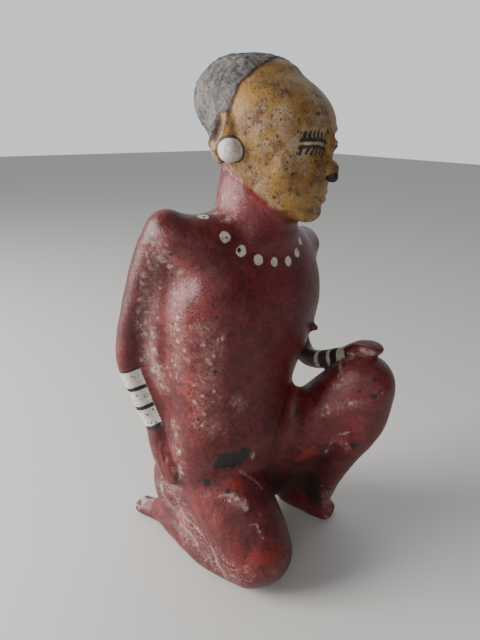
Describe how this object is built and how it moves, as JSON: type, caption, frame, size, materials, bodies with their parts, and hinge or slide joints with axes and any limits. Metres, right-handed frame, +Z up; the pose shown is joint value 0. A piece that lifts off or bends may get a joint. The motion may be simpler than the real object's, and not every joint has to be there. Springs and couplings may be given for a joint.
{
  "type": "terracotta figure",
  "caption": "Kneeling hollow terracotta figure with red burnished slip, painted face and forearm bands; stands on one shin and one foot as a display piece.",
  "frame": {"origin": "on the ground plane, under the middle of the figure's bounding box", "axes": "+Z up along the body; the torso and the raised knee face -Y; +X is the figure's own left"},
  "size_m": [0.1572, 0.1562, 0.3401],
  "materials": {
    "burnished_clay": "burnished dark red slip, worn, with painted details"
  },
  "bodies": {
    "root": {"kneeling_figure": "burnished_clay"}
  },
  "joints": []
}
